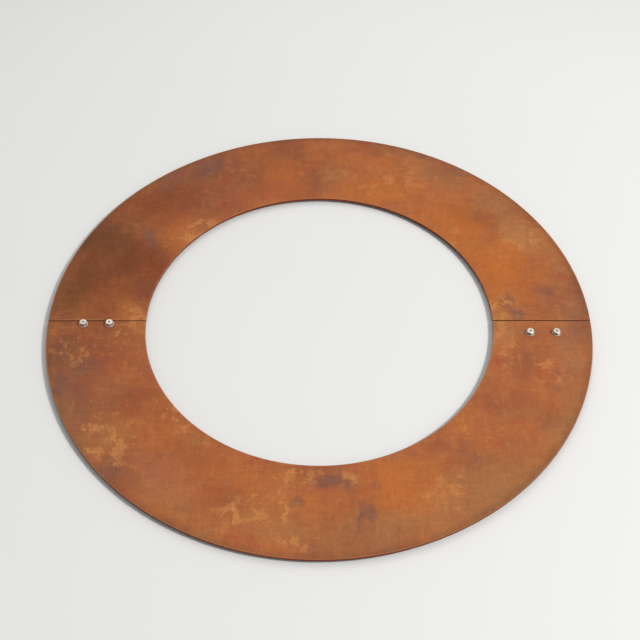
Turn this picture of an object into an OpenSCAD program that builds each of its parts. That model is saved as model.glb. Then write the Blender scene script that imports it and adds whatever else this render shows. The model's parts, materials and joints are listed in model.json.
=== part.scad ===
// Tree ring edging: a flat weathering steel ring in two halves, joined by screws into joint plates below.
// X runs along the seam, Y to the back, Z up. The origin is the ring's centre on the plane it stands on.

/* [Ring] */
// Outside diameter of the ring
ring_d = 1000; // [900:10:1400]
// Diameter of the planting opening
opening_d = 640; // [500:10:700]
// Thickness of the ring plate
plate_t = 5; // [4:0.5:8]
// Width of the gap between the two halves
seam_gap = 2; // [1:0.5:4]
// Bevel on the edges of the ring plate
edge_break = 0.4; // [0.2:0.1:0.8]

/* [Joint plates] */
// Thickness of a joint plate
joint_t = 6; // [6:0.5:10]
// Distance of a joint plate's ends from the ring's edges
joint_inset = 30; // [20:1:35]
// How far a joint plate reaches under the back half
joint_back = 40; // [30:1:60]
// How far a joint plate reaches under the front half
joint_front = 50; // [45:1:70]
// Corner radius of a joint plate
joint_corner_r = 5; // [2:0.5:8]

/* [Stitch welds] */
// Leg of a fillet weld
weld_leg = 4; // [3:0.5:5]
// Length of one stitch
weld_len = 26; // [18:1:30]
// Distance between the centres of the two stitches on the back edge
weld_pitch = 64; // [40:1:70]
// How far the weld face's centre lies behind the corner, which sets its bulge
weld_face_back = 2; // [1:0.5:4]

/* [Screws] */
// Distance between the two screws of a pair
screw_pitch = 48; // [40:1:60]
// Distance of the left pair from the middle of the seam
left_setback = 8; // [8:0.5:30]
// Distance of the right pair from the middle of the seam
right_setback = 30; // [8:0.5:34]
// Thread diameter
screw_d = 8; // [6:0.5:8]
// Length under the head
screw_len = 12; // [11.5:0.1:12.6]
// Bevel on the screw's tip
tip_bevel = 1; // [0.5:0.1:1.5]
// Width of the hexagon head across its flats
head_af = 13; // [12.5:0.1:13.5]
// Height of the head, with its bearing face
head_h = 5.3; // [4.8:0.1:6]
// Diameter of the flat inside the chamfer on top of the head
head_flat_d = 11.6; // [11:0.1:12.2]
// Slope of the chamfer
head_slope = 30; // [15:1:35]
// Diameter of the bearing face under the head
bearing_d = 11.6; // [11:0.1:12.2]
// Height of the bearing face
bearing_h = 0.3; // [0.2:0.1:0.6]
// Direction that a flat of the left heads faces once they are tight
left_turn = 12; // [0:1:59]
// Direction that a flat of the right heads faces once they are tight
right_turn = 2; // [0:1:59]

/* [Washers] */
// Outside diameter of a washer
washer_od = 16; // [15.5:0.5:18]
// Thickness of a washer
washer_t = 1.6; // [1.2:0.1:2]
// Bevel on a washer's top edge
washer_bevel = 0.3; // [0.1:0.1:0.5]

/* [Clearances] */
// Radial clearance of a screw in the front half's hole
hole_clear = 0.5; // [0.3:0.1:0.6]
// Radial clearance of a screw in its washer
washer_clear = 0.2; // [0.1:0.05:0.4]
// Radial clearance of a screw in its tapped hole
thread_clear = 0.05; // [0.02:0.01:0.1]

/* [Hidden] */
ring_facets = 240;
round_facets = 48;
$fn = round_facets;
overcut = 1;
outer_r = ring_d / 2;
inner_r = opening_d / 2;
mid_r = (outer_r + inner_r) / 2;
ring_z = joint_t;
ring_top = ring_z + plate_t;
seat_z = ring_top + washer_t;
joint_len = outer_r - inner_r - 2 * joint_inset;
screw_r = screw_d / 2;
LEFT = -1;
RIGHT = 1;
OUTER = 1;
INNER = -1;
SIDES = [[LEFT, left_setback, left_turn], [RIGHT, right_setback, right_turn]];

// Place of a screw: a side's sign, setback and head turn, and outer or inner in its pair
function screw_xy(side, end) = [side[0] * (mid_r + end * screw_pitch / 2), -side[1]];

// Section of the ring plate, with its edges beveled
module ring_section() {
  b = edge_break;
  polygon([
    [inner_r + b, 0], [outer_r - b, 0], [outer_r, b], [outer_r, plate_t - b],
    [outer_r - b, plate_t], [inner_r + b, plate_t], [inner_r, plate_t - b], [inner_r, b]
  ]);
}

// A square bar laid along X with one edge up, which bevels a straight edge at Y = 0, Z = 0
module seam_edge_cutter() {
  side = edge_break * sqrt(2);
  rotate([45, 0, 0]) cube([ring_d + 2 * overcut, side, side], center = true);
}

// The half ring that lies behind the seam, without holes
module half_ring() {
  edge_y = seam_gap / 2;
  translate([0, 0, ring_z])
    difference() {
      rotate_extrude(angle = 180, $fn = ring_facets) ring_section();
      translate([-outer_r - overcut, edge_y - outer_r, -overcut])
        cube([ring_d + 2 * overcut, outer_r, plate_t + 2 * overcut]);
      for (z = [0, plate_t]) translate([0, edge_y, z]) seam_edge_cutter();
    }
}

// A rectangle with round corners, centred on the origin
module rounded_plate(width, depth, corner, height) {
  linear_extrude(height) {
    square([width - 2 * corner, depth], center = true);
    square([width, depth - 2 * corner], center = true);
    for (x = [-1, 1], y = [-1, 1])
      translate([x * (width / 2 - corner), y * (depth / 2 - corner)]) circle(r = corner);
  }
}

// A joint plate with its two tapped holes
module joint_plate(side) {
  difference() {
    translate([side[0] * mid_r, (joint_back - joint_front) / 2, 0])
      rounded_plate(joint_len, joint_back + joint_front, joint_corner_r, joint_t);
    for (end = [OUTER, INNER])
      translate(concat(screw_xy(side, end), -overcut))
        cylinder(r = screw_r + thread_clear, h = joint_t + 2 * overcut);
  }
}

// Half of a weld's section: the corner where both legs meet is the origin, and the face bulges a little
module weld_section() {
  face_r = norm([weld_leg + weld_face_back, weld_face_back]);
  mirror([0, 1])
    intersection() {
      square(weld_leg);
      translate([-weld_face_back, -weld_face_back]) circle(r = face_r);
    }
}

// One stitch, centred along X, on a wall at Y = 0 and under a face at Z = 0, with round ends
module stitch_weld() {
  run = weld_len - 2 * weld_leg;
  translate([-run / 2, 0, 0]) rotate([90, 0, 90]) linear_extrude(run) weld_section();
  translate([run / 2, 0, 0]) rotate_extrude(angle = 90) weld_section();
  translate([-run / 2, 0, 0]) rotate([0, 0, 90]) rotate_extrude(angle = 90) weld_section();
}

// A stitch on the back edge of a joint plate
module back_weld(side, end) {
  translate([side[0] * (mid_r + end * weld_pitch / 2), joint_back, ring_z]) stitch_weld();
}

// A stitch on the outer or inner end of a joint plate, centred between the seam and the corner
module end_weld(side, end) {
  middle_y = (seam_gap / 2 + joint_back - joint_corner_r) / 2;
  translate([side[0] * (mid_r + end * joint_len / 2), middle_y, ring_z])
    rotate([0, 0, -90 * side[0] * end]) stitch_weld();
}

// The head on Z = 0: a round bearing face, then a hexagon with a flat facing +X, chamfered above
module hex_head() {
  corner_r = head_af / 2 / cos(30);
  flat_r = head_flat_d / 2;
  hex_h = head_h - bearing_h;
  cylinder(r = bearing_d / 2, h = bearing_h);
  translate([0, 0, bearing_h])
    intersection() {
      rotate([0, 0, 30]) cylinder(r = corner_r, h = hex_h, $fn = 6);
      cylinder(r1 = flat_r + hex_h / tan(head_slope), r2 = flat_r, h = hex_h);
    }
}

// A screw whose head stands on Z = 0
module screw() {
  hex_head();
  translate([0, 0, tip_bevel - screw_len]) cylinder(r = screw_r, h = screw_len - tip_bevel);
  translate([0, 0, -screw_len]) cylinder(r1 = screw_r - tip_bevel, r2 = screw_r, h = tip_bevel);
}

// A flat washer that lies on Z = 0, with its top edge beveled
module washer() {
  rim_r = washer_od / 2;
  difference() {
    union() {
      cylinder(r = rim_r, h = washer_t - washer_bevel);
      translate([0, 0, washer_t - washer_bevel])
        cylinder(r1 = rim_r, r2 = rim_r - washer_bevel, h = washer_bevel);
    }
    translate([0, 0, -overcut]) cylinder(r = screw_r + washer_clear, h = washer_t + 2 * overcut);
  }
}

module placed_screw(side, end) {
  translate(concat(screw_xy(side, end), seat_z)) rotate([0, 0, side[2]]) screw();
}

module placed_washer(side, end) { translate(concat(screw_xy(side, end), ring_top)) washer(); }

module back_half_ring() { color("sienna") half_ring(); }

module front_half_ring() {
  color("peru")
    difference() {
      rotate([0, 0, 180]) half_ring();
      for (side = SIDES, end = [OUTER, INNER])
        translate(concat(screw_xy(side, end), ring_z - overcut))
          cylinder(r = screw_r + hole_clear, h = plate_t + 2 * overcut);
    }
}

module left_joint_plate() { color("saddlebrown") joint_plate(SIDES[0]); }
module right_joint_plate() { color("saddlebrown") joint_plate(SIDES[1]); }

module left_outer_screw() { color("silver") placed_screw(SIDES[0], OUTER); }
module left_inner_screw() { color("silver") placed_screw(SIDES[0], INNER); }
module right_inner_screw() { color("silver") placed_screw(SIDES[1], INNER); }
module right_outer_screw() { color("silver") placed_screw(SIDES[1], OUTER); }

module left_outer_washer() { color("lightgray") placed_washer(SIDES[0], OUTER); }
module left_inner_washer() { color("lightgray") placed_washer(SIDES[0], INNER); }
module right_inner_washer() { color("lightgray") placed_washer(SIDES[1], INNER); }
module right_outer_washer() { color("lightgray") placed_washer(SIDES[1], OUTER); }

module left_outer_end_weld() { color("dimgray") end_weld(SIDES[0], OUTER); }
module left_inner_end_weld() { color("dimgray") end_weld(SIDES[0], INNER); }
module left_back_outer_weld() { color("dimgray") back_weld(SIDES[0], OUTER); }
module left_back_inner_weld() { color("dimgray") back_weld(SIDES[0], INNER); }
module right_outer_end_weld() { color("dimgray") end_weld(SIDES[1], OUTER); }
module right_inner_end_weld() { color("dimgray") end_weld(SIDES[1], INNER); }
module right_back_outer_weld() { color("dimgray") back_weld(SIDES[1], OUTER); }
module right_back_inner_weld() { color("dimgray") back_weld(SIDES[1], INNER); }

back_half_ring();
front_half_ring();
left_joint_plate();
right_joint_plate();
left_outer_screw();
left_inner_screw();
right_inner_screw();
right_outer_screw();
left_outer_washer();
left_inner_washer();
right_inner_washer();
right_outer_washer();
left_outer_end_weld();
left_inner_end_weld();
left_back_outer_weld();
left_back_inner_weld();
right_outer_end_weld();
right_inner_end_weld();
right_back_outer_weld();
right_back_inner_weld();
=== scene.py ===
"""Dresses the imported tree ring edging: plates, screws, washers and welds, their finishes, and the studio."""

import json
import logging
import math
from dataclasses import dataclass
from enum import Enum
from functools import partial, reduce
from typing import Any, Callable, Sequence

import bmesh
import bpy
from bmesh.types import BMEdge, BMesh, BMVert
from bpy.types import Material, Mesh, Node, NodeSocket, NodeTree, Object
from mathutils import Matrix, Vector


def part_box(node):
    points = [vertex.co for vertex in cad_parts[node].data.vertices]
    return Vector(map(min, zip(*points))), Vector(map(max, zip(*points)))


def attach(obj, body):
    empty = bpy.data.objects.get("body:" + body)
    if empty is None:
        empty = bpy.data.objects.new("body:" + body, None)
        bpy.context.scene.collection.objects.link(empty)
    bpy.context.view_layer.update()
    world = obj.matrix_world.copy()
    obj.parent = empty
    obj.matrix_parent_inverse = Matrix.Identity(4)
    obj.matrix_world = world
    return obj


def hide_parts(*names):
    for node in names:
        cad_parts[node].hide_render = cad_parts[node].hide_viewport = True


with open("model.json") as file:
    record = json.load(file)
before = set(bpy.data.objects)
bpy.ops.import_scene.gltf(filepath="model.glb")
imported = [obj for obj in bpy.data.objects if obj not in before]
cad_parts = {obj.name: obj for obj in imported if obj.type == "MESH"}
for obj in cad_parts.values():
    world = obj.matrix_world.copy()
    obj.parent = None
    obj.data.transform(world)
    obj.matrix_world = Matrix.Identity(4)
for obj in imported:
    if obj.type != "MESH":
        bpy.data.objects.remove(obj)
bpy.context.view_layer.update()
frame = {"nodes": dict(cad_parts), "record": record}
LOG = logging.getLogger("tree_ring_edging")
MM = 0.001
MERGE = 0.001 * MM
LEVEL = (1.0, 1.0, 0.0)
BODY = "root"
FROM_AXIS = "from_axis"

Colour = tuple[float, float, float, float]
Triple = tuple[float, float, float]


def srgb(red: int, green: int, blue: int) -> Colour:
    """Turn a screen colour into linear light.

    Args:
        red: Red, 0 to 255.
        green: Green, 0 to 255.
        blue: Blue, 0 to 255.

    Returns:
        The linear colour with full alpha.
    """
    def linear(value: float) -> float:
        """Undo the screen's transfer curve for one channel."""
        return value / 12.92 if value <= 0.04045 else ((value + 0.055) / 1.055) ** 2.4

    return (*(linear(channel / 255) for channel in (red, green, blue)), 1.0)


class Side(Enum):
    """The two seams, named as the camera sees them."""

    LEFT = "left"
    RIGHT = "right"


class End(Enum):
    """Place along a seam, seen from the ring's centre."""

    OUTER = "outer"
    INNER = "inner"


class Slot(Enum):
    """Names of the record's material slots."""

    RING = "weathering_steel"
    STAINLESS = "stainless_steel"
    WELD = "weld_metal"


class Graph:
    """A short way to add and join the nodes of one node tree."""

    def __init__(self, tree: NodeTree) -> None:
        """Remember the tree that the nodes go into."""
        self.tree = tree

    def add(self, kind: str, inputs: dict[Any, Any] | None = None, **settings: Any) -> Node:
        """Add one node.

        Args:
            kind: The node's type name, without ShaderNode.
            inputs: Values or output sockets, by input name or number.
            **settings: Attributes of the node itself.

        Returns:
            The new node.
        """
        node = self.tree.nodes.new("ShaderNode" + kind)
        for name, value in settings.items():
            setattr(node, name, value)
        self.feed(node, inputs or {})
        return node

    def feed(self, node: Node, inputs: dict[Any, Any]) -> None:
        """Fill a node's inputs.

        Args:
            node: The node.
            inputs: Values, or output sockets to link, by input name or number.
        """
        for name, value in inputs.items():
            if isinstance(value, NodeSocket):
                self.tree.links.new(value, node.inputs[name])
            else:
                node.inputs[name].default_value = value

    def place(self) -> NodeSocket:
        """Return the piece's own coordinates."""
        return self.add("TexCoord").outputs["Object"]

    def split(self, vector: NodeSocket) -> Any:
        """Return a vector's three parts."""
        return self.add("SeparateXYZ", {0: vector}).outputs

    def length(self, vector: NodeSocket) -> NodeSocket:
        """Return a vector's length."""
        return self.add("VectorMath", {0: vector}, operation="LENGTH").outputs["Value"]

    def math(self, operation: str, *values: Any) -> NodeSocket:
        """Add a Math node and return its result."""
        return self.add("Math", dict(enumerate(values)), operation=operation).outputs[0]

    def product(self, *factors: Any) -> NodeSocket:
        """Multiply values one after the other and return their product."""
        return reduce(partial(self.math, "MULTIPLY"), factors)

    def vector_math(self, operation: str, *values: Any) -> NodeSocket:
        """Add a Vector Math node and return its vector."""
        return self.add("VectorMath", dict(enumerate(values)), operation=operation).outputs[0]

    def remap(self, value: NodeSocket, low: Any, high: Any, to_low: Any = 0.0,
              to_high: Any = 1.0) -> NodeSocket:
        """Move a value smoothly from the range low to high into the range to_low to to_high."""
        inputs = {"Value": value, 1: low, 2: high, 3: to_low, 4: to_high}
        return self.add("MapRange", inputs, interpolation_type="SMOOTHSTEP").outputs[0]

    def noise(self, vector: NodeSocket, scale: Any, detail: float = 3.0, roughness: float = 0.5,
              distortion: float = 0.0, seed: Any = 0.0) -> NodeSocket:
        """Add a Noise Texture node.

        Args:
            vector: The coordinates that it reads.
            scale: Features per metre.
            detail: Number of finer layers.
            roughness: Weight of the finer layers.
            distortion: How far the pattern is bent by itself.
            seed: Which of the many patterns it takes.

        Returns:
            Its value.
        """
        inputs = {"Vector": vector, "W": seed, "Scale": scale, "Detail": detail, "Roughness": roughness,
                  "Distortion": distortion}
        return self.add("TexNoise", inputs, noise_dimensions="4D").outputs[0]

    def mix(self, factor: Any, first: Any, second: Any, blend: str = "MIX") -> NodeSocket:
        """Lay the second colour over the first, by a share of 0 to 1."""
        inputs = {0: factor, 6: first, 7: second}
        return self.add("Mix", inputs, data_type="RGBA", blend_type=blend).outputs[2]

    def shaded(self, colour: NodeSocket, value: NodeSocket) -> NodeSocket:
        """Multiply a colour by a value."""
        grey = self.add("CombineColor", {0: value, 1: value, 2: value}).outputs[0]
        return self.mix(1.0, colour, grey, "MULTIPLY")

    def group(self, tree: NodeTree, inputs: dict[str, Any]) -> Any:
        """Place a node group with its inputs and return its outputs."""
        return self.add("Group", inputs, node_tree=tree).outputs

    def relief(self, shader: Node, height: NodeSocket, strength: float, distance: float) -> None:
        """Give a shader its fine relief, in which a height of 1 measures the distance."""
        inputs = {"Strength": strength, "Distance": distance, "Height": height}
        self.feed(shader, {"Normal": self.add("Bump", inputs).outputs[0]})


def new_group(name: str, inputs: Sequence[str], outputs: Sequence[str]) -> tuple[Graph, Any, Node]:
    """Start a shader node group with named sockets, of which only Vector holds a vector.

    Args:
        name: The group's name.
        inputs: Names of its inputs.
        outputs: Names of its outputs.

    Returns:
        The graph, what the group is given, and the node that takes what it gives.
    """
    tree = bpy.data.node_groups.new(name, "ShaderNodeTree")
    for names, direction in ((inputs, "INPUT"), (outputs, "OUTPUT")):
        for socket_name in names:
            kind = "NodeSocketVector" if socket_name == "Vector" else "NodeSocketFloat"
            tree.interface.new_socket(name=socket_name, in_out=direction, socket_type=kind)
    given = tree.nodes.new("NodeGroupInput").outputs
    return Graph(tree), given, tree.nodes.new("NodeGroupOutput")


@dataclass(frozen=True)
class Patch:
    """A patch of patina on the ring, in millimetres from its centre, with its long side turned by degrees."""

    x: float
    y: float
    length: float
    width: float
    turn: float = 0.0
    strength: float = 1.0


class PatinaEffects:
    """The node groups that the finishes share, each built once."""

    ALONG_SEAM = (1.0, 7.0, 1.0)
    ACROSS_SEAM = (7.0, 1.1, 1.0)
    GRAINS_IN_A_SPOT = 9.0

    def __init__(self) -> None:
        """Build every group."""
        self.warp = self._warp()
        self.torn = self._torn()
        self.streaks = self._streaks()
        self.grain = self._grain()
        self.ring_edges = self._ring_edges()

    @staticmethod
    def _warp() -> NodeTree:
        """Build the shift that makes round shapes ragged.

        Returns:
            The group.
        """
        graph, given, out = new_group("Ragged shift", ("Vector", "Scale", "Amount"), ("Vector",))
        inputs = {"Vector": given["Vector"], "Scale": given["Scale"], "Detail": 4.0, "Roughness": 0.6}
        wobble = graph.add("TexNoise", inputs, noise_dimensions="4D").outputs["Color"]
        centred = graph.vector_math("SUBTRACT", wobble, (0.5, 0.5, 0.5))
        shift = graph.add("VectorMath", {0: centred, "Scale": given["Amount"]}, operation="SCALE")
        graph.feed(out, {"Vector": graph.vector_math("ADD", given["Vector"], shift.outputs[0])})
        return graph.tree

    @staticmethod
    def _torn() -> NodeTree:
        """Build the torn shapes, with crisp edges, that a flaking patina leaves.

        Returns:
            The group.
        """
        names = ("Vector", "Scale", "Seed", "Lift", "Level", "Edge")
        graph, given, out = new_group("Torn shapes", names, ("Mask",))
        shape = graph.noise(given["Vector"], given["Scale"], detail=6.0, roughness=0.62, distortion=0.3,
                            seed=given["Seed"])
        lifted = graph.math("ADD", shape, given["Lift"])
        top = graph.math("ADD", given["Level"], given["Edge"])
        graph.feed(out, {"Mask": graph.remap(lifted, given["Level"], top)})
        return graph.tree

    def _streaks(self) -> NodeTree:
        """Build the faint crossed streaks of a rolled face, and the few strokes that stand out.

        Returns:
            The group.
        """
        graph, given, out = new_group("Crossed streaks", ("Vector", "Scale"), ("Value", "Strokes", "Along"))
        along = graph.vector_math("MULTIPLY", given["Vector"], self.ALONG_SEAM)
        across = graph.vector_math("MULTIPLY", given["Vector"], self.ACROSS_SEAM)
        first = graph.noise(along, given["Scale"], detail=2.0)
        second = graph.noise(across, given["Scale"], detail=2.0, seed=1.0)
        graph.feed(out, {
            "Value": graph.product(graph.math("ADD", first, second), 0.5),
            "Strokes": graph.remap(graph.math("MAXIMUM", first, second), 0.62, 0.7),
            "Along": graph.remap(first, 0.52, 0.62)})
        return graph.tree

    def _grain(self) -> NodeTree:
        """Build the fine rust grain: soft spots, and grains a ninth of their size.

        Returns:
            The group.
        """
        graph, given, out = new_group("Rust grain", ("Vector", "Scale"), ("Height", "Speckle", "Grains"))
        coarse = graph.noise(given["Vector"], given["Scale"], detail=5.0, roughness=0.65)
        fine_scale = graph.product(given["Scale"], self.GRAINS_IN_A_SPOT)
        fine = graph.noise(given["Vector"], fine_scale, detail=2.0, roughness=0.6)
        graph.feed(out, {
            "Height": graph.math("ADD", coarse, graph.product(fine, 0.35)),
            "Speckle": graph.remap(coarse, 0.3, 0.7),
            "Grains": graph.remap(fine, 0.3, 0.7)})
        return graph.tree

    @staticmethod
    def _ring_edges() -> NodeTree:
        """Build the distance from the ring's nearest cut edge, round or straight.

        Returns:
            The group.
        """
        names = ("Vector", "Inner radius", "Outer radius")
        graph, given, out = new_group("Ring edge distance", names, ("Rim", "Outer", "Seam"))
        split = graph.split(given["Vector"])
        radius = graph.length(graph.add("CombineXYZ", {0: split[0], 1: split[1]}).outputs[0])
        inner = graph.math("SUBTRACT", radius, given["Inner radius"])
        outer = graph.math("SUBTRACT", given["Outer radius"], radius)
        rim = graph.math("MINIMUM", inner, outer)
        graph.feed(out, {"Rim": rim, "Outer": outer, "Seam": graph.math("ABSOLUTE", split[1])})
        return graph.tree


def new_material(name: str) -> tuple[Material, Graph, Node]:
    """Start a material.

    Args:
        name: The material's name.

    Returns:
        The material, its graph and its Principled shader.
    """
    material = bpy.data.materials.new(name)
    material.use_nodes = True
    return material, Graph(material.node_tree), material.node_tree.nodes["Principled BSDF"]


def patches(*ovals: tuple[float, ...]) -> tuple[Patch, ...]:
    """Name the numbers of some patches."""
    return tuple(Patch(*oval) for oval in ovals)


GOLDEN_FLECKS = patches(
    (-362, -272, 92, 104, 20, 0.6), (-440, -72, 66, 66, 0, 0.6), (-372, -58, 50, 30, 0, 0.5),
    (-385, -242, 42, 17, -8, 1.1), (-346, -276, 22, 46, 14, 1.1), (-384, -292, 44, 13, 4),
    (-352, -316, 38, 15, -26), (-338, 8, 52, 60, 0, 0.9), (-240, 230, 44, 70, -35),
    (-395, 198, 60, 60, 0, 0.2), (-118, -412, 86, 56, 10, 0.9), (-40, -342, 90, 28, 0, 0.9),
    (52, -344, 26, 20, 0, 0.8), (212, -370, 76, 62, 15, 0.6), (415, -108, 54, 64, 0, 0.65),
    (392, 206, 76, 66, 60, 0.7), (336, 40, 34, 26), (-234, -220, 100, 52, -42, 0.7),
    (140, 380, 150, 110, 0, 0.5), (-40, -468, 100, 34, 0, 0.7), (342, -60, 40, 90, 0, 0.6),
    (-60, 412, 60, 50, 0, 0.2), (-160, 400, 80, 50, 20, 0.25), (250, 210, 50, 50, 0, 0.5),
    (270, -250, 60, 90, -40, 0.4), (-58, -410, 10, 84, 4, 1.0), (332, -20, 30, 60, 0, 0.8),
    (-350, -30, 60, 26, 5, 0.8))
GREY_BLOTCHES = patches(
    (364, 19, 40, 30, -20), (22, -350, 68, 42, -10), (84, -412, 26, 50, 0, 0.8),
    (-34, -390, 24, 22, 0, 0.8), (-333, 214, 26, 50, 25, 0.9), (-215, 414, 80, 36, 25, 0.7),
    (212, 442, 60, 28, -25, 0.7), (274, 400, 60, 30, -35, 0.5), (308, 262, 38, 46, -20, 0.5),
    (430, 72, 60, 40, -30, 0.7), (-350, -325, 64, 40, -40, 0.8), (-460, -148, 28, 80, 8, 0.9),
    (256, -295, 60, 34, -30, 0.5), (92, -360, 22, 16, 0, 0.6), (-300, 372, 80, 40, 45, 0.7),
    (68, -420, 12, 56, -10), (348, 44, 30, 44, -25, 0.9), (-420, -110, 60, 40, 20, 0.6))
# Dark chestnut zones, mostly on the left and back: partly darker patina, partly painted shade over that side.
DARK_ZONES = patches(
    (-400, 110, 190, 220, 15, 0.9), (-320, 300, 200, 140, 45, 0.66), (-130, 420, 220, 130, 15, 0.28),
    (-430, -70, 130, 130, 0, 0.4), (-360, 152, 140, 150, 25, 1.0), (-320, -190, 130, 90, 0, 0.3),
    (-430, 190, 130, 180, -24), (298, 256, 60, 52, 0, 0.6), (-222, 312, 110, 50, 36, 0.1))
# Grey-brown patches along the outer rim: partly damp staining, partly painted shadow along the rim.
DAMP_AND_SHADE_ZONES = patches(
    (-462, -60, 40, 110, 7), (-420, -180, 80, 150, 24, 1.3), (-330, -330, 110, 40, -45, 0.3),
    (262, 384, 100, 56, -34, 0.7), (452, -150, 50, 100, -18, 0.5), (474, 0, 50, 120, 0),
    (-230, 402, 130, 50, 30, 1.2))
# Bright orange zones: brighter patina, and on the right side partly painted light.
BRIGHT_ZONES = patches(
    (345, 120, 110, 170, 10), (140, -370, 140, 90, 10, 0.75), (262, 232, 120, 130, 40, 0.8),
    (-264, 236, 70, 80, -40, 0.3), (130, 340, 150, 110, 0, 0.6), (-130, -350, 110, 60, 0, 0.4),
    (-250, -250, 90, 120, 40, 0.3), (300, -270, 170, 120, -42, 0.15), (-20, -400, 160, 90, 0, 0.2),
    (-72, 368, 70, 80, 0, 0.6), (110, 430, 130, 60, -14, 0.4), (395, -150, 80, 80, 0, 0.4),
    (-345, 4, 50, 70, 0, 0.5), (-225, -345, 130, 120, -35, 0.5))
TAN_ZONES = patches(
    (405, 230, 60, 140, 32, 0.9), (462, -40, 46, 130, 0, 0.6), (425, -220, 46, 130, -28, 0.8),
    (280, -368, 190, 92, 37, 1.1), (112, -446, 150, 60, 14), (-240, -400, 130, 60, -30, 0.5),
    (345, 312, 60, 70, 42, 0.9), (-60, -440, 120, 50, -5, 0.6), (230, 400, 130, 60, -30, 0.6),
    (-440, -220, 50, 110, 25, 0.7), (350, 4, 60, 100, 0, 0.6))
RED_ZONES = patches(
    (-160, 318, 150, 60, 27), (-262, 262, 80, 90, -45, 0.9), (-385, -130, 150, 150, 20, 0.4),
    (-190, -360, 130, 100, -30, 0.5))
# Olive patches along the outer left rim: partly olive staining, partly painted shade and a painted greenish
# reflection.
OLIVE_ZONES = patches(
    (-405, 215, 60, 130, -28), (-452, 80, 50, 130, -10), (-400, 130, 70, 90, -20, 0.4))
ROSE_ZONES = patches(
    (-262, -350, 70, 120, 53), (-400, -150, 110, 150, 20, 0.2), (455, -100, 50, 130, -14, 0.5))
GOLDEN_HALOS = patches(
    (385, 225, 60, 110, 30, 0.7), (-240, 232, 46, 64, -35, 0.5), (-340, 6, 50, 60, 0, 0.7),
    (-365, -255, 90, 110, 20, 0.45), (-120, -415, 80, 60, 10, 0.4), (210, -370, 80, 60, 15, 0.4),
    (332, -40, 30, 110, 0, 0.6), (-440, -75, 50, 60, 0, 0.3))


@dataclass(frozen=True)
class Section:
    """The upright rectangle that a plate or a washer is spun from, as radii and heights."""

    inner_r: float
    outer_r: float
    low_z: float
    high_z: float

    def lay(self, bm: BMesh) -> None:
        """Stand the rectangle on the X axis.

        Args:
            bm: The bmesh that it goes into.
        """
        grid = bmesh.ops.create_grid(bm, x_segments=1, y_segments=1, size=0.5)
        width = self.outer_r - self.inner_r
        scale = Matrix.Diagonal((width, self.high_z - self.low_z, 1.0, 1.0))
        stand = Matrix.Rotation(math.pi / 2, 4, "X")
        middle = Matrix.Translation((self.inner_r + width / 2, 0.0, (self.low_z + self.high_z) / 2))
        bmesh.ops.transform(bm, matrix=middle @ stand @ scale, verts=grid["verts"])


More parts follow.
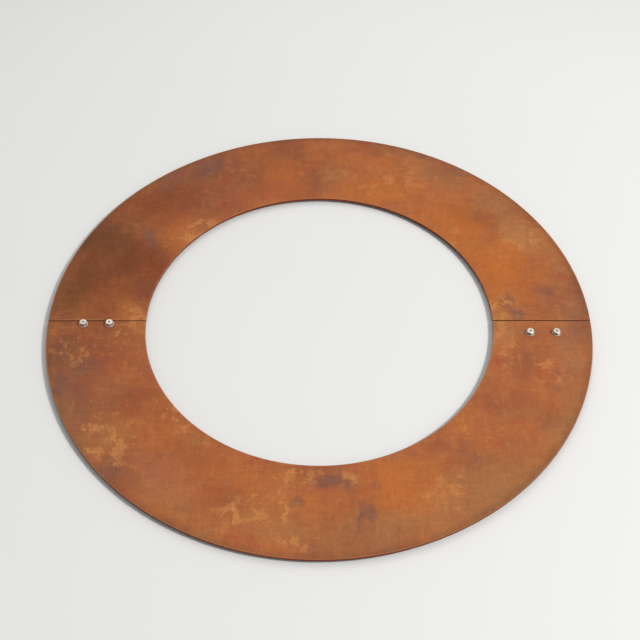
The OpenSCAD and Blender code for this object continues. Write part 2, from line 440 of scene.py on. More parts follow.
class WeatheringSteel:
    """The rust patina of the ring plates, with some painted shade and light, laid layer over layer. Its scales
    are features per metre.
    """

    BROWN = srgb(153, 88, 56)
    ORANGE = srgb(182, 106, 57)
    RED_BROWN = srgb(168, 84, 53)
    # Tone of the dark zones: darker patina and painted shade.
    CHESTNUT = srgb(110, 53, 27)
    # Tone of the damp zones: damp staining and painted shadow.
    DAMP_AND_SHADE = srgb(110, 75, 62)
    # Tone of the olive zones: staining, painted shade and a painted greenish reflection.
    OLIVE = srgb(102, 72, 42)
    ROSE = srgb(172, 112, 87)
    BRIGHT = srgb(196, 110, 44)
    TAN = srgb(169, 116, 70)
    GREY = srgb(128, 84, 69)
    GOLD = srgb(199, 131, 75)
    # Dark band along the outer rim: partly stain, partly painted shadow.
    RIM_STAIN_AND_SHADE = srgb(98, 70, 48)
    # Light band at the arrises and the seam: partly worn rust, partly a painted highlight.
    ARRIS_WEAR_AND_HIGHLIGHT = srgb(190, 126, 84)
    CUT_EDGE = srgb(120, 56, 26)
    UNDERSIDE = srgb(98, 58, 40)
    MILL_SCALE = srgb(74, 60, 53)
    DRIFT_SCALE = 8.0
    DRIFT_REACH = 0.12
    RAGGED_SCALE = 40.0
    RAGGED_REACH = 0.045
    GROUND_SCALE = 7.0
    CLOUD_SCALE = 14.0
    STREAK_SCALE = 22.0
    MOTTLE_SCALE = 75.0
    UNEVEN_SCALE = 130.0
    GRAIN_SCALE = 260.0
    BROKEN_SCALE = 60.0
    # A kind of torn shapes: features per metre, pattern, level where they start and width of their edge.
    TEAR = ("Scale", "Seed", "Level", "Edge")
    GREY_TEAR = (34.0, 4.0, 0.5, 0.2)
    ECHO_TEAR = (15.0, 5.0, 0.56, 0.2)
    GOLD_TEAR = (46.0, 6.0, 0.57, 0.08)
    STROKE_REACH = 44 * MM
    STAIN_AND_SHADE_REACH = 26 * MM
    WEAR_AND_HIGHLIGHT_REACH = 2.4 * MM
    BUMP_HEIGHT = 0.35 * MM
    BUMP_STRENGTH = 0.5
    SPECULAR = 0.2

    def __init__(self, effects: PatinaEffects) -> None:
        """Start the material and the coordinates that its layers read.

        Args:
            effects: The shared node groups.
        """
        self.effects = effects
        self.material, self.graph, self.shader = new_material("weathering_steel_patina")
        self.place = self.graph.place()
        self.flat = self.graph.vector_math("MULTIPLY", self.place, LEVEL)
        self.drifting = self._warped(self.DRIFT_SCALE, self.DRIFT_REACH)
        self.ragged = self._warped(self.RAGGED_SCALE, self.RAGGED_REACH)

    def build(self, section: Section) -> Material:
        """Lay every layer, from the ground to the edges.

        Args:
            section: The plates' radii and heights.

        Returns:
            The material.
        """
        graph = self.graph
        colour, dark = self._zones(self._ground())
        clear = graph.remap(dark, 0.1, 0.7, 1.0, 0.3)
        grey = self._grey_mask()
        colour = graph.mix(grey, colour, self.GREY)
        streaks = graph.group(self.effects.streaks, {"Vector": self.flat, "Scale": self.STREAK_SCALE})
        combed = graph.product(clear, graph.remap(streaks["Value"], 0.36, 0.56, 0.7, 1.0))
        gold = graph.product(self._gold_mask(), combed)
        colour = self._streaked(graph.mix(gold, colour, self.GOLD), streaks, clear)
        grain = graph.group(self.effects.grain, {"Vector": self.place, "Scale": self.GRAIN_SCALE})
        both = graph.math("MULTIPLY_ADD", grain["Speckle"], 0.5, grain["Grains"])
        colour = graph.shaded(colour, graph.remap(both, 0.0, 1.5, 0.83, 1.17))
        colour = self._edges(colour, section)
        rough = graph.math("ADD", graph.product(gold, 0.12),
                           graph.remap(streaks["Value"], 0.3, 0.7, 0.66, 0.76))
        rough = graph.math("SUBTRACT", rough, graph.product(grey, 0.1))
        graph.relief(self.shader, grain["Height"], self.BUMP_STRENGTH, self.BUMP_HEIGHT)
        graph.feed(self.shader, {"Base Color": colour, "Roughness": rough, "Metallic": 0.0,
                                 "Specular IOR Level": self.SPECULAR})
        return self.material

    def _warped(self, scale: float, amount: float) -> NodeSocket:
        """Return the face's coordinates, shifted raggedly."""
        return self.graph.group(self.effects.warp, {"Vector": self.flat, "Scale": scale, "Amount": amount})[0]

    def _torn(self, tear: tuple[float, ...], lift: Any = 0.0) -> NodeSocket:
        """Return the mask of one kind of torn shapes, with more of them where the lift is high."""
        inputs = {"Vector": self.flat, "Lift": lift} | dict(zip(self.TEAR, tear))
        return self.graph.group(self.effects.torn, inputs)[0]

    def _patches(self, vector: NodeSocket, ovals: Sequence[Patch], edge: float = 1.0) -> NodeSocket:
        """Join several soft oval patches into one mask.

        Args:
            vector: The shifted coordinates.
            ovals: The patches to join.
            edge: Share of a patch's radius over which it fades.

        Returns:
            The largest of the patches' masks.
        """
        joined = None
        for patch in ovals:
            oval = self.graph.add("TexGradient", {"Vector": vector}, gradient_type="SPHERICAL")
            placing = oval.texture_mapping
            placing.vector_type = "TEXTURE"
            placing.translation = (patch.x * MM, patch.y * MM, 0.0)
            placing.rotation = (0.0, 0.0, math.radians(patch.turn))
            placing.scale = (patch.length * MM, patch.width * MM, 1.0)
            mask = self.graph.remap(oval.outputs["Fac"], 0.0, edge, 0.0, patch.strength)
            joined = mask if joined is None else self.graph.math("MAXIMUM", joined, mask)
        return joined

    def _ground(self) -> NodeSocket:
        """Mix the brown, orange, red-brown and tan ground that lies under every patch.

        Returns:
            Its colour.
        """
        graph = self.graph
        drift = graph.remap(graph.noise(self.flat, self.GROUND_SCALE, detail=6.0, roughness=0.6), 0.36, 0.6)
        colour = graph.mix(drift, self.BROWN, self.ORANGE)
        for tone, scale, level, edge, strength in (
                (self.RED_BROWN, 18.0, 0.48, 0.18, 0.6), (self.TAN, 12.0, 0.52, 0.18, 0.55),
                (self.RED_BROWN, 64.0, 0.52, 0.1, 0.25), (self.TAN, 52.0, 0.56, 0.1, 0.25)):
            mask = self._torn((scale, scale, level, edge))
            colour = graph.mix(graph.product(mask, strength), colour, tone)
        return colour

    def _zones(self, colour: NodeSocket) -> tuple[NodeSocket, NodeSocket]:
        """Tint the ground zone by zone.

        Args:
            colour: The ground.

        Returns:
            The tinted ground, and the mask of its dark zones.
        """
        graph = self.graph
        clouds = graph.noise(self.flat, self.CLOUD_SCALE, detail=6.0, roughness=0.6, seed=3.0)
        cloud = graph.remap(clouds, 0.3, 0.7, 0.6)
        masks: dict[Colour, NodeSocket] = {}
        # The dark, damp and olive zones are partly painted shade, and the bright zones partly painted light.
        for ovals, tone, strength in (
                (TAN_ZONES, self.TAN, 0.85), (DARK_ZONES, self.CHESTNUT, 1.0),
                (RED_ZONES, self.RED_BROWN, 0.45), (BRIGHT_ZONES, self.BRIGHT, 1.0),
                (GOLDEN_HALOS, self.GOLD, 0.5), (DAMP_AND_SHADE_ZONES, self.DAMP_AND_SHADE, 0.5),
                (OLIVE_ZONES, self.OLIVE, 0.5), (ROSE_ZONES, self.ROSE, 0.5)):
            masks[tone] = graph.product(self._patches(self.drifting, ovals), cloud, strength)
            colour = graph.mix(masks[tone], colour, tone)
        return colour, masks[self.CHESTNUT]

    def _grey_mask(self) -> NodeSocket:
        """Place the grey-violet blotches and their faint echoes elsewhere.

        Returns:
            Their mask.
        """
        graph = self.graph
        placed = self._patches(self.ragged, GREY_BLOTCHES)
        torn = self._torn(self.GREY_TEAR, graph.product(placed, 0.28))
        wisps = graph.product(self._torn(self.ECHO_TEAR), 0.45)
        return graph.product(graph.math("MAXIMUM", graph.product(torn, placed), wisps), 0.85)

    def _gold_mask(self) -> NodeSocket:
        """Tear the golden clusters into flecks, and scatter a few between them.

        Returns:
            Their mask.
        """
        graph = self.graph
        placed = self._patches(self.ragged, GOLDEN_FLECKS, 0.8)
        flecks = self._torn(self.GOLD_TEAR, graph.product(placed, 0.12))
        dense = graph.remap(placed, 0.0, 1.0, 0.25, 1.0)
        uneven = graph.remap(graph.noise(self.flat, self.UNEVEN_SCALE, seed=7.0), 0.35, 0.6, 0.6)
        return graph.product(flecks, graph.product(dense, uneven))

    def _streaked(self, colour: NodeSocket, streaks: Any, clear: NodeSocket) -> NodeSocket:
        """Draw the strokes, and shade the face by its streaks and its mottle.

        Args:
            colour: The face without streaks.
            streaks: What the crossed streaks give.
            clear: Where strokes may show, 0 to 1.

        Returns:
            The streaked face.
        """
        graph = self.graph
        across_seam = graph.split(self.place)[1]
        seam = graph.math("ABSOLUTE", across_seam)
        beside_seam = graph.product(streaks["Along"], graph.remap(seam, self.STROKE_REACH, 4 * MM))
        lone = graph.product(streaks["Strokes"], 0.3, clear)
        strokes = graph.math("MAXIMUM", lone, graph.product(beside_seam, 0.5))
        colour = graph.mix(strokes, colour, self.TAN)
        spread = graph.remap(across_seam, 2 * MM, -2 * MM, 0.05, 0.07)
        shade = graph.remap(streaks["Value"], 0.3, 0.7, graph.math("SUBTRACT", 1.0, spread),
                            graph.math("ADD", 1.0, spread))
        mottle = graph.noise(self.flat, self.MOTTLE_SCALE, roughness=0.6, seed=8.0)
        return graph.shaded(colour, graph.product(shade, graph.remap(mottle, 0.3, 0.7, 0.95, 1.05)))

    def _edges(self, colour: NodeSocket, section: Section) -> NodeSocket:
        """Darken the rim by stain and painted shadow, lighten the arrises by wear and painted highlight;
        colour cut edges and underside.

        Args:
            colour: The patina of the top face.
            section: The plates' radii and heights.

        Returns:
            The colour with its edges.
        """
        graph = self.graph
        edges = graph.group(self.effects.ring_edges, {
            "Vector": self.place, "Inner radius": section.inner_r, "Outer radius": section.outer_r})
        broken = graph.noise(self.place, self.BROKEN_SCALE, detail=4.0, roughness=0.6)
        # Darken the outer rim: partly stain, partly painted shadow along it.
        reach = graph.math("SUBTRACT", edges["Outer"], graph.product(broken, self.STAIN_AND_SHADE_REACH))
        stain_and_shade = graph.product(graph.remap(reach, 6 * MM, -16 * MM), 0.4)
        colour = graph.mix(stain_and_shade, colour, self.RIM_STAIN_AND_SHADE)
        # Lighten the arrises and the seam's edges: partly worn rust, partly a painted highlight where they
        # catch the light.
        nearest = graph.math("MINIMUM", edges["Rim"], edges["Seam"])
        worn_and_lit = graph.math("SUBTRACT", nearest, graph.product(broken, self.WEAR_AND_HIGHLIGHT_REACH))
        arris = graph.product(graph.remap(worn_and_lit, 1.2 * MM, -0.4 * MM), 0.4)
        colour = graph.mix(arris, colour, self.ARRIS_WEAR_AND_HIGHLIGHT)
        height = graph.split(self.place)[2]
        on_wall = graph.remap(height, section.high_z - 0.1 * MM, section.high_z - 0.6 * MM)
        colour = graph.mix(on_wall, colour, self.CUT_EDGE)
        below = graph.remap(height, section.low_z + 0.4 * MM, section.low_z + 0.1 * MM)
        underneath = graph.mix(graph.remap(broken, 0.44, 0.6), self.UNDERSIDE, self.MILL_SCALE)
        return graph.mix(below, colour, underneath)


@dataclass(frozen=True)
class DarkRust:
    """Rust over mill scale, on the joint plates and the welds."""

    name: str
    scale_grey: Colour
    rust: Colour
    grain_scale: float = 300.0
    bump_height: float = 0.3 * MM
    bump_strength: float = 0.6
    drift_scale: float = 30.0

    def build(self, effects: PatinaEffects) -> Material:
        """Make the material.

        Args:
            effects: The shared node groups.

        Returns:
            The material.
        """
        material, graph, shader = new_material(self.name)
        place = graph.place()
        drift = graph.remap(graph.noise(place, self.drift_scale, detail=6.0, roughness=0.62), 0.4, 0.62)
        grain = graph.group(effects.grain, {"Vector": place, "Scale": self.grain_scale})
        colour = graph.mix(drift, self.scale_grey, self.rust)
        fleck = graph.remap(grain["Speckle"], 0.0, 1.0, 0.8, 1.15)
        graph.feed(shader, {"Base Color": graph.shaded(colour, fleck),
                            "Roughness": graph.remap(drift, 0.0, 1.0, 0.48, 0.85)})
        graph.relief(shader, grain["Height"], self.bump_strength, self.bump_height)
        return material


@dataclass(frozen=True)
class Stainless:
    """Satin stainless steel: turned rings, dust in the dimple, walls darkened by grime and painted shade, and
    rougher washers.
    """

    # Warm tint: the steel's own colour, warmed further as painted warm light.
    tint: Colour = srgb(214, 203, 191)
    grime: Colour = srgb(118, 106, 94)
    # Darker colour of the hexagon's walls: grime and painted shade.
    wall_grime_and_shade: Colour = srgb(86, 80, 66)
    ring_scale: float = 2600.0
    smudge_scale: float = 420.0
    dimple_r: float = 2.4 * MM
    dimple_z: float = 5 * MM
    wall_r: float = 6.1 * MM
    wall_z: float = 0.3 * MM
    bump_height: float = 0.02 * MM
    bump_strength: float = 0.25

    def build(self) -> Material:
        """Make the material.

        Returns:
            The material.
        """
        material, graph, shader = new_material("satin_stainless")
        local = graph.add("Attribute", attribute_name=FROM_AXIS).outputs["Vector"]
        height = graph.split(local)[2]
        radius = graph.length(graph.vector_math("MULTIPLY", local, LEVEL))
        ring_place = graph.add("CombineXYZ", {0: radius}).outputs[0]
        rings = graph.noise(ring_place, self.ring_scale, detail=2.0)
        smudge = graph.noise(local, self.smudge_scale, detail=4.0, roughness=0.6)
        spots = graph.product(graph.remap(smudge, 0.6, 0.76), 0.3)
        in_dimple = graph.remap(radius, self.dimple_r, self.dimple_r * 0.75)
        on_top = graph.remap(height, self.dimple_z - 0.2 * MM, self.dimple_z)
        dust = graph.product(in_dimple, on_top, 0.85)
        on_wall = graph.product(graph.remap(radius, self.wall_r, self.wall_r + 0.3 * MM),
                                graph.remap(height, self.wall_z - 0.1 * MM, self.wall_z))
        on_washer = graph.remap(height, 0.25 * MM, 0.05 * MM)
        # Darken the hexagon's walls: partly grime, partly painted shade.
        grimy_shaded_wall = graph.product(on_wall, 0.5)
        colour = graph.mix(graph.math("MAXIMUM", spots, dust), self.tint, self.grime)
        colour = graph.mix(grimy_shaded_wall, colour, self.wall_grime_and_shade)
        # Dirt, together with the walls' painted shade, makes the steel less bare and rougher.
        dirt_and_shade = graph.math("MAXIMUM", spots, graph.math("MAXIMUM", dust, graph.product(on_wall, 0.4)))
        duller = graph.math("ADD", graph.product(dirt_and_shade, 0.4), graph.product(on_washer, 0.15))
        rough = graph.math("ADD", graph.remap(smudge, 0.3, 0.7, 0.2, 0.32), duller)
        bare = graph.product(graph.math("SUBTRACT", 1.0, dirt_and_shade), graph.remap(on_washer, 0.0, 1.0, 1.0, 0.5))
        graph.feed(shader, {"Base Color": colour, "Roughness": rough, "Metallic": bare})
        graph.relief(shader, rings, self.bump_strength, self.bump_height)
        return material


def lies_level(normal: Vector) -> bool:
    """Say whether a face lies level."""
    return abs(normal.z) > 0.9999


def finish_mesh(bm: BMesh, name: str, flat_when: Callable[[Vector], bool] = lies_level,
                crease: float = math.radians(40)) -> Mesh:
    """Turn a bmesh into a mesh with outward normals.

    Args:
        bm: The bmesh, which is freed.
        name: The mesh's name.
        flat_when: Says from a face's normal whether it is shaded flat.
        crease: Angle from which an edge is shaded sharp.

    Returns:
        The mesh.
    """
    bmesh.ops.recalc_face_normals(bm, faces=bm.faces)
    for face in bm.faces:
        face.smooth = not flat_when(face.normal)
    for edge in bm.edges:
        edge.smooth = edge.calc_face_angle(0.0) < crease
    mesh = bpy.data.meshes.new(name)
    bm.to_mesh(mesh)
    bm.free()
    return mesh


def close_ends(bm: BMesh) -> None:
    """Fill every open loop of a bmesh."""
    bmesh.ops.holes_fill(bm, edges=[edge for edge in bm.edges if edge.is_boundary], sides=0)


def grown_verts(bm: BMesh, edges: Sequence[BMEdge]) -> list[BMVert]:
    """Extrude edges and return the new vertices."""
    grown = bmesh.ops.extrude_edge_only(bm, edges=edges)["geom"]
    return [item for item in grown if isinstance(item, BMVert)]


def add_object(name: str, data: Any) -> Object:
    """Put a new object in the scene.

    Args:
        name: Its name.
        data: Its mesh, light or camera.

    Returns:
        The object.
    """
    thing = bpy.data.objects.new(name, data)
    bpy.context.scene.collection.objects.link(thing)
    return thing


def note_axis(mesh: Mesh, axis: Vector, seat_z: float) -> Mesh:
    """Write each vertex's place, from a screw's axis and its washer's top, for the finish to read.

    Args:
        mesh: The mesh.
        axis: A point of the axis.
        seat_z: Height of the washer's top.

    Returns:
        The same mesh.
    """
    origin = Vector((axis.x, axis.y, seat_z))
    values = [value for vert in mesh.vertices for value in vert.co - origin]
    mesh.attributes.new(FROM_AXIS, "FLOAT_VECTOR", "POINT").data.foreach_set("vector", values)
    return mesh


def place_piece(mesh: Mesh, name: str, material: Material, slot: Slot, *nodes: str) -> None:
    """Put a finished mesh in the scene in place of its CAD nodes.

    Args:
        mesh: The mesh, with its place in its vertices.
        name: The piece's name.
        material: Its finish.
        slot: The record's slot that the finish belongs to; not used.
        *nodes: The CAD nodes that it stands for.
    """
    piece = add_object(name, mesh)
    mesh.materials.clear()
    mesh.materials.append(material)
    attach(piece, BODY)
    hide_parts(*nodes)
    LOG.info("%s: %d faces, stands for %s", name, len(mesh.polygons), ", ".join(nodes))


@dataclass
class HalfRing:
    """One half of the ring: flat plate, cut round and along the seam, with softly broken edges."""

    node: str
    section: Section
    holes: Sequence[Vector] = ()
    hole_r: float = 4.5 * MM
    arris_r: float = 0.5 * MM
    arris_segments: int = 3
    arris_angle: float = math.radians(60)
    steps: int = 360
    hole_steps: int = 48

    def mesh(self) -> Mesh:
        """Model the half ring.

        Returns:
            The mesh, in place.
        """
        low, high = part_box(self.node)
        behind = low.y + high.y > 0
        seam_y = low.y if behind else -high.y
        bm = bmesh.new()
        self.section.lay(bm)
        bmesh.ops.spin(bm, geom=bm.verts[:] + bm.edges[:] + bm.faces[:], cent=(0, 0, 0), axis=(0, 0, 1),
                       angle=math.pi, steps=self.steps)
        bmesh.ops.bisect_plane(bm, geom=bm.verts[:] + bm.edges[:] + bm.faces[:], plane_co=(0, seam_y, 0),
                               plane_no=(0, 1, 0), clear_inner=True)
        close_ends(bm)
        bmesh.ops.recalc_face_normals(bm, faces=bm.faces)
        sharp = [edge for edge in bm.edges if edge.calc_face_angle(0.0) > self.arris_angle]
        bmesh.ops.bevel(bm, geom=sharp, affect="EDGES", offset=self.arris_r, segments=self.arris_segments,
                        profile=0.5, material=-1, clamp_overlap=True)
        if not behind:
            bmesh.ops.rotate(bm, verts=bm.verts, cent=(0, 0, 0), matrix=Matrix.Rotation(math.pi, 3, "Z"))
        plate = finish_mesh(bm, self.node + "_plate")
        return self._drilled(plate) if self.holes else plate

    def _drilled(self, mesh: Mesh) -> Mesh:
        """Drill the clearance holes.

        Args:
            mesh: The plate.

        Returns:
            The drilled mesh.
        """
        low_z, high_z = self.section.low_z, self.section.high_z
        bm = bmesh.new()
        for centre in self.holes:
            drill = bmesh.ops.create_cone(bm, cap_ends=True, segments=self.hole_steps, radius1=self.hole_r,
                                          radius2=self.hole_r, depth=3 * (high_z - low_z))
            bmesh.ops.translate(bm, verts=drill["verts"], vec=(centre.x, centre.y, (low_z + high_z) / 2))
        cutter = add_object("drill", finish_mesh(bm, "drill"))
        plate = add_object("undrilled_plate", mesh)
        cut = plate.modifiers.new("holes", "BOOLEAN")
        cut.object = cutter
        cut.operation = "DIFFERENCE"
        cut.solver = "EXACT"
        drilled = bpy.data.meshes.new_from_object(plate.evaluated_get(bpy.context.evaluated_depsgraph_get()))
        drilled.name = mesh.name + "_drilled"
        for helper in (cutter, plate):
            bpy.data.objects.remove(helper)
        return drilled


@dataclass
class HexScrew:
    """A hexagon-head screw, chamfered above, with a forging dimple and a threaded shank."""

    node: str
    turn: float = 0.0
    across_flats: float = 13 * MM
    head_h: float = 5.3 * MM
    corner_r: float = 7.4 * MM
    chamfer_r: float = 5.8 * MM
    chamfer_slope: float = math.tan(math.radians(30))
    face_r: float = 5.8 * MM
    face_h: float = 0.3 * MM
    dimple_r: float = 2.4 * MM
    dimple_depth: float = 0.25 * MM
    round_r: float = 0.15 * MM
    thread_r: float = 4 * MM
    core_r: float = 3.35 * MM
    pitch: float = 1.25 * MM
    tip_bevel: float = 1 * MM
    sunk: float = 0.2 * MM
    steps: int = 72
    crease: float = math.radians(25)

    def mesh(self) -> Mesh:
        """Model the screw: its head, then its shank.

        Returns:
            The mesh, in place.
        """
        low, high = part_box(self.node)
        axis = Vector(((low.x + high.x) / 2, (low.y + high.y) / 2, 0.0))
        seat_z = high.z - self.head_h
        bm = bmesh.new()
        self._head(bm)
        self._shank(bm, seat_z - low.z)
        bmesh.ops.translate(bm, verts=bm.verts, vec=axis + Vector((0, 0, seat_z)))
        return finish_mesh(bm, self.node, crease=self.crease)

    def _lay(self, verts: Sequence[BMVert], place: Callable[[float], tuple[float, float]]) -> None:
        """Move a ring of vertices outward or inward, each along its own direction.

        Args:
            verts: The ring.
            place: Gives the radius and the height above the seat for a direction, counted from a flat.
        """
        for vert in verts:
            angle = math.atan2(vert.co.y, vert.co.x)
            from_flat = (angle - self.turn + math.pi / 6) % (math.pi / 3) - math.pi / 6
            radius, height = place(from_flat)
            vert.co = Vector((radius * math.cos(angle), radius * math.sin(angle), height))

    def _wall(self, angle: float, inset: float = 0.0) -> float:
        """Return the hexagon's radius in a direction, drawn in by an inset."""
        return min(self.across_flats / 2 / math.cos(angle), self.corner_r) - inset

    def _chamfer(self, radius: float) -> float:
        """Return the height of the chamfer cone at a radius."""
        return self.head_h - max(0.0, radius - self.chamfer_r) * self.chamfer_slope

    def _head(self, bm: BMesh) -> None:
        """Grow the head ring by ring: bearing face, hexagon, chamfer, top and dimple.

        Args:
            bm: The bmesh that it goes into.
        """
        rings = (
            lambda angle: (self.face_r, 0.0),
            lambda angle: (self.face_r, self.face_h),
            lambda angle: (self._wall(angle, self.round_r), self.face_h),
            lambda angle: (self._wall(angle), self.face_h + self.round_r),
            lambda angle: (self._wall(angle), self._chamfer(self._wall(angle)) - self.round_r),
            lambda angle: (self._wall(angle, self.round_r), self._chamfer(self._wall(angle, self.round_r))),
            lambda angle: (self.chamfer_r, self.head_h),
            lambda angle: (self.dimple_r, self.head_h),
            lambda angle: (self.dimple_r * 0.6, self.head_h - self.dimple_depth * 0.64),
        )
        hidden_r = self.thread_r - self.sunk
        base = bmesh.ops.create_circle(bm, cap_ends=True, segments=self.steps, radius=hidden_r)
        loop = list({edge for vert in base["verts"] for edge in vert.link_edges})
        for ring in rings:
            verts = grown_verts(bm, loop)
            self._lay(verts, ring)
            loop = [edge for edge in bm.edges if edge.verts[0] in verts and edge.verts[1] in verts]
        cap = bmesh.ops.edgeloop_fill(bm, edges=loop)["faces"]
        for vert in bmesh.ops.poke(bm, faces=cap)["verts"]:
            vert.co = Vector((0.0, 0.0, self.head_h - self.dimple_depth))

    def _shank(self, bm: BMesh, length: float) -> None:
        """Spin the thread from one pitch of its profile, trim it at both ends and cap it.

        Args:
            bm: The bmesh that it goes into.
            length: Length under the head.
        """
        turns = math.ceil((length + self.sunk) / self.pitch) + 2
        crest, root = self.pitch / 8, self.pitch / 4
        flank = (self.pitch - crest - root) / 2
        part = bmesh.new()
        heights = [0.0, crest, crest + flank, crest + flank + root, self.pitch]
        radii = [self.thread_r, self.thread_r, self.core_r, self.core_r, self.thread_r]
        verts = [part.verts.new((radius, 0.0, height)) for radius, height in zip(radii, heights)]
        edges = [part.edges.new(pair) for pair in zip(verts, verts[1:])]
        bmesh.ops.spin(part, geom=verts + edges, cent=(0, 0, 0), axis=(0, 0, 1), angle=2 * math.pi * turns,
                       dvec=(0, 0, self.pitch / self.steps), steps=self.steps * turns)
        bmesh.ops.remove_doubles(part, verts=part.verts, dist=MERGE)
        bmesh.ops.translate(part, verts=part.verts, vec=(0, 0, -length - self.pitch))
        for height, normal in ((-length, 1), (self.sunk, -1)):
            bmesh.ops.bisect_plane(part, geom=part.verts[:] + part.edges[:] + part.faces[:],
                                   plane_co=(0, 0, height), plane_no=(0, 0, normal), clear_inner=True)
        for vert in part.verts:
            limit = self.thread_r - self.tip_bevel + (vert.co.z + length)
            reach = math.hypot(vert.co.x, vert.co.y)
            if reach > limit:
                vert.co.xy *= limit / reach
        close_ends(part)
        mesh = bpy.data.meshes.new("shank")
        part.to_mesh(mesh)
        part.free()
        bm.from_mesh(mesh)
        bpy.data.meshes.remove(mesh)


@dataclass
class FlatWasher:
    """A stamped flat washer: rolled over above, sharp below."""

    node: str
    bore_r: float = 4.2 * MM
    roll_r: float = 0.35 * MM
    roll_segments: int = 4
    steps: int = 64

    def mesh(self) -> Mesh:
        """Model the washer.

        Returns:
            The mesh, in place.
        """
        low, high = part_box(self.node)
        half = (high.z - low.z) / 2
        bm = bmesh.new()
        Section(self.bore_r, (high.x - low.x) / 2, -half, half).lay(bm)
        top_corners = [vert for vert in bm.verts if vert.co.z > 0]
        bmesh.ops.bevel(bm, geom=top_corners, affect="VERTICES", offset=self.roll_r,
                        segments=self.roll_segments, profile=0.5, material=-1)
        bmesh.ops.delete(bm, geom=bm.faces[:], context="FACES_ONLY")
        bmesh.ops.spin(bm, geom=bm.verts[:] + bm.edges[:], cent=(0, 0, 0), axis=(0, 0, 1), angle=2 * math.pi,
                       steps=self.steps, use_merge=True)
        bmesh.ops.remove_doubles(bm, verts=bm.verts, dist=MERGE)
        bmesh.ops.translate(bm, verts=bm.verts, vec=(low + high) / 2)
        return finish_mesh(bm, self.node)


@dataclass
class StitchWeld:
    """A short fillet weld with the ripples that the arc leaves."""

    node: str
    ripple_pitch: float = 1.6 * MM
    ripple_depth: float = 0.12
    ripple_lag: float = 0.35
    stations_per_ripple: int = 6
    face_points: int = 9
    bulge: float = 0.16

    def mesh(self, joint_centre: Vector) -> Mesh:
        """Model the weld between the joint plate's edge and the ring's underside.

        Args:
            joint_centre: Centre of the joint plate, which tells the wall's side.

        Returns:
            The mesh, in place.
        """
        low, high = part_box(self.node)
        along_x = high.x - low.x > high.y - low.y
        length = max(high.x - low.x, high.y - low.y)
        stations = round(length / self.ripple_pitch) * self.stations_per_ripple
        bm = bmesh.new()
        grid = bmesh.ops.create_grid(bm, x_segments=stations, y_segments=self.face_points - 1, size=0.5)
        for vert in grid["verts"]:
            vert.co = self._face_point(vert.co.x + 0.5, vert.co.y + 0.5, length, high.z - low.z)
        for vert in grown_verts(bm, [edge for edge in bm.edges if edge.is_boundary]):
            vert.co.yz = 0.0, 0.0
        bmesh.ops.remove_doubles(bm, verts=bm.verts, dist=2 * MERGE)
        centre = (low + high) / 2
        facing = 1 if along_x else 0
        outward = centre[facing] > joint_centre[facing]
        turn = (0.0 if along_x else -math.pi / 2) + (0.0 if outward else math.pi)
        corner = Vector((centre.x, centre.y, high.z))
        corner[facing] = low[facing] if outward else high[facing]
        bmesh.ops.rotate(bm, verts=bm.verts, cent=(0, 0, 0), matrix=Matrix.Rotation(turn, 3, "Z"))
        bmesh.ops.translate(bm, verts=bm.verts, vec=corner)
        return finish_mesh(bm, self.node, lambda normal: False)

    def _face_point(self, along: float, across: float, length: float, leg: float) -> Vector:
        """Place a point of the weld's face, for a weld along X with its corner on the X axis.

        Args:
            along: Share of the length, 0 to 1.
            across: Share of the way from the ring's underside to the plate's wall, 0 to 1.
            length: Length of the weld.
            leg: Leg of the weld.

        Returns:
            The point.
        """
        from_end = min(along, 1 - along) * length
        taper = math.sqrt(max(0.0, 1 - max(0.0, 1 - from_end / leg) ** 2))
        lag = self.ripple_lag * math.sin(math.pi * across)
        phase = (along * length / self.ripple_pitch + lag) % 1.0
        ripple = 1 - self.ripple_depth * (2 * phase - 1) ** 2
        turn = across * math.pi / 2
        straight = 1 / (math.cos(turn) + math.sin(turn))
        reach = leg * taper * ripple * (straight + self.bulge * math.sin(2 * turn))
        return Vector(((along - 0.5) * length, reach * math.cos(turn), -reach * math.sin(turn)))


@dataclass(frozen=True)
class Lamp:
    """A soft square lamp aimed at the ring's centre."""

    name: str
    place: Triple
    size: float
    power: float


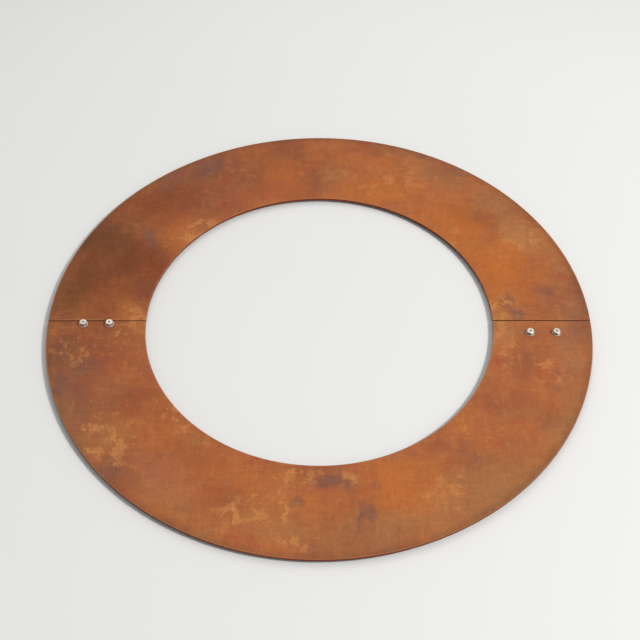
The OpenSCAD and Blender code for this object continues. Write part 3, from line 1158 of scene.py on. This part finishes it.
@dataclass
class Studio:
    """The pale floor, the soft light and the camera."""

    top_z: float
    floor_colour: Colour = srgb(243, 242, 239)
    floor_cloud: float = 0.97
    cloud_scale: float = 1.2
    floor_r: float = 14.0
    # The floor darkens from the near to the far radius, down to a share: a painted falloff of light.
    floor_light_falloff: Triple = (0.8, 2.4, 0.76)
    sky: Colour = srgb(190, 191, 192)
    shade: Colour = srgb(112, 110, 108)
    shade_towards: Triple = (-0.55, -0.5, 0.67)
    shade_spread: tuple[float, float] = (0.72, 0.94)
    distance: float = 2.4045
    elevation: float = 49.85
    lens_mm: float = 73.31
    sensor_mm: float = 36.0
    aim: tuple[float, float] = (0.0013, 0.0014)
    lamps: tuple[Lamp, ...] = (
        Lamp("key", (4.1, -1.5, 4.8), 0.85, 228.0),
        Lamp("side", (3.4, -2.9, 2.4), 2.2, 10.0),
        Lamp("back", (0.0, 3.0, 3.6), 2.6, 24.0),
    )

    def build(self) -> None:
        """Set up the floor, the world, the lamps and the camera."""
        self._floor()
        self._world()
        for lamp in self.lamps:
            data = bpy.data.lights.new(lamp.name, "AREA")
            data.shape = "SQUARE"
            data.size = lamp.size
            data.energy = lamp.power
            self._aim(add_object(lamp.name, data), Vector(lamp.place), -Vector(lamp.place))
        self._camera()
        bpy.context.scene.view_settings.view_transform = "Standard"

    @staticmethod
    def _aim(thing: Object, place: Vector, towards: Vector) -> None:
        """Put a lamp or the camera in its place and turn it in a direction."""
        thing.location = place
        thing.rotation_euler = towards.to_track_quat("-Z", "Y").to_euler()

    def _floor(self) -> None:
        """Lay a round pale floor, darker away from the centre as painted light falloff, that shows only from
        above.
        """
        bm = bmesh.new()
        bmesh.ops.create_circle(bm, cap_ends=True, segments=128, radius=self.floor_r)
        floor = add_object("floor", finish_mesh(bm, "floor"))
        material, graph, shader = new_material("pale_floor")
        place = graph.place()
        tint = tuple(channel * self.floor_cloud for channel in self.floor_colour[:3]) + (1.0,)
        pale = graph.mix(graph.noise(place, self.cloud_scale), self.floor_colour, tint)
        # Darken the floor away from the centre: a painted pool of light around the ring.
        near, far, least = self.floor_light_falloff
        painted_falloff = graph.remap(graph.length(place), near, far, 1.0, least)
        graph.feed(shader, {"Base Color": graph.shaded(pale, painted_falloff), "Roughness": 0.9,
                            "Specular IOR Level": 0.1})
        behind = graph.add("NewGeometry").outputs["Backfacing"]
        clear = graph.add("BsdfTransparent").outputs[0]
        both = graph.add("MixShader", {0: behind, 1: shader.outputs[0], 2: clear}).outputs[0]
        graph.feed(material.node_tree.nodes["Material Output"], {"Surface": both})
        floor.data.materials.append(material)

    def _world(self) -> None:
        """Light the scene with a pale sky that is darker low down on one side."""
        world = bpy.data.worlds.new("studio")
        world.use_nodes = True
        bpy.context.scene.world = world
        graph = Graph(world.node_tree)
        look = graph.add("TexCoord").outputs["Generated"]
        inputs = {0: look, 1: Vector(self.shade_towards).normalized()}
        facing = graph.add("VectorMath", inputs, operation="DOT_PRODUCT").outputs["Value"]
        shaded = graph.remap(facing, *self.shade_spread)
        light = {"Color": graph.mix(shaded, self.sky, self.shade), "Strength": 1.0}
        graph.feed(world.node_tree.nodes["Background"], light)

    def _camera(self) -> None:
        """Stand the camera where the photograph was taken from."""
        data = bpy.data.cameras.new("photo_view")
        data.lens = self.lens_mm
        data.sensor_width = self.sensor_mm
        camera = add_object("photo_view", data)
        rise = math.radians(self.elevation)
        centre = Vector((0.0, 0.0, self.top_z))
        place = centre + self.distance * Vector((0.0, -math.cos(rise), math.sin(rise)))
        self._aim(camera, place, centre + Vector((*self.aim, 0.0)) - place)
        bpy.context.scene.camera = camera


class TreeRing:
    """The whole edging, built from its plates outward to its fasteners."""

    HEAD_TURNS = {Side.LEFT: 12.0, Side.RIGHT: 2.0}

    def __init__(self) -> None:
        """Read the sizes from the frame and build the finishes."""
        mounts = {mount["name"]: mount for mount in frame["record"]["mounts"]}
        low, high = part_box("back_half_ring")
        self.section = Section(mounts["planting_opening"]["dims"]["r_mm"] * MM, high.x, low.z, high.z)
        effects = PatinaEffects()
        self.patina = WeatheringSteel(effects).build(self.section)
        self.steel = Stainless().build()
        self.joint_rust = DarkRust("joint_plate_rust", srgb(76, 56, 46), srgb(124, 64, 34)).build(effects)
        weld_rust = DarkRust("weld_rust", srgb(66, 56, 52), srgb(104, 62, 42), grain_scale=500.0,
                             bump_height=0.15 * MM)
        self.weld_rust = weld_rust.build(effects)

    def build(self) -> None:
        """Build every sub-assembly in turn."""
        self._plates()
        for side in Side:
            self._joint(side)
            for end in End:
                self._fastener(side, end)

    def _plates(self) -> None:
        """Make the two half rings."""
        boxes = [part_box(f"{side.value}_{end.value}_screw") for side in Side for end in End]
        axes = [(low + high) / 2 for low, high in boxes]
        for node, holes in (("back_half_ring", ()), ("front_half_ring", axes)):
            mesh = HalfRing(node, self.section, holes).mesh()
            place_piece(mesh, node + "_plate", self.patina, Slot.RING, node)

    def _joint(self, side: Side) -> None:
        """Finish one joint plate and make its four stitch welds.

        Args:
            side: Its seam.
        """
        plate = frame["nodes"][f"{side.value}_joint_plate"]
        plate.material_slots[0].material = self.joint_rust
        low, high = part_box(f"{side.value}_joint_plate")
        for spot in ("outer_end", "inner_end", "back_outer", "back_inner"):
            weld = f"{side.value}_{spot}_weld"
            mesh = StitchWeld(weld).mesh((low + high) / 2)
            place_piece(mesh, weld + "_bead", self.weld_rust, Slot.WELD, weld)

    def _fastener(self, side: Side, end: End) -> None:
        """Make one screw and its washer.

        Args:
            side: Its seam.
            end: Its place along the seam.
        """
        name = f"{side.value}_{end.value}"
        low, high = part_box(name + "_washer")
        screw = HexScrew(name + "_screw", math.radians(self.HEAD_TURNS[side]))
        washer = FlatWasher(name + "_washer")
        for part, suffix in ((screw, "_hex_screw"), (washer, "_flat_washer")):
            mesh = note_axis(part.mesh(), (low + high) / 2, high.z)
            place_piece(mesh, name + suffix, self.steel, Slot.STAINLESS, part.node)


def main() -> None:
    """Build the ring and its studio, in order, and report each piece."""
    logging.basicConfig(level=logging.INFO, format="%(name)s: %(message)s")
    ring = TreeRing()
    ring.build()
    Studio(top_z=ring.section.high_z).build()


if __name__ == "__main__":
    main()
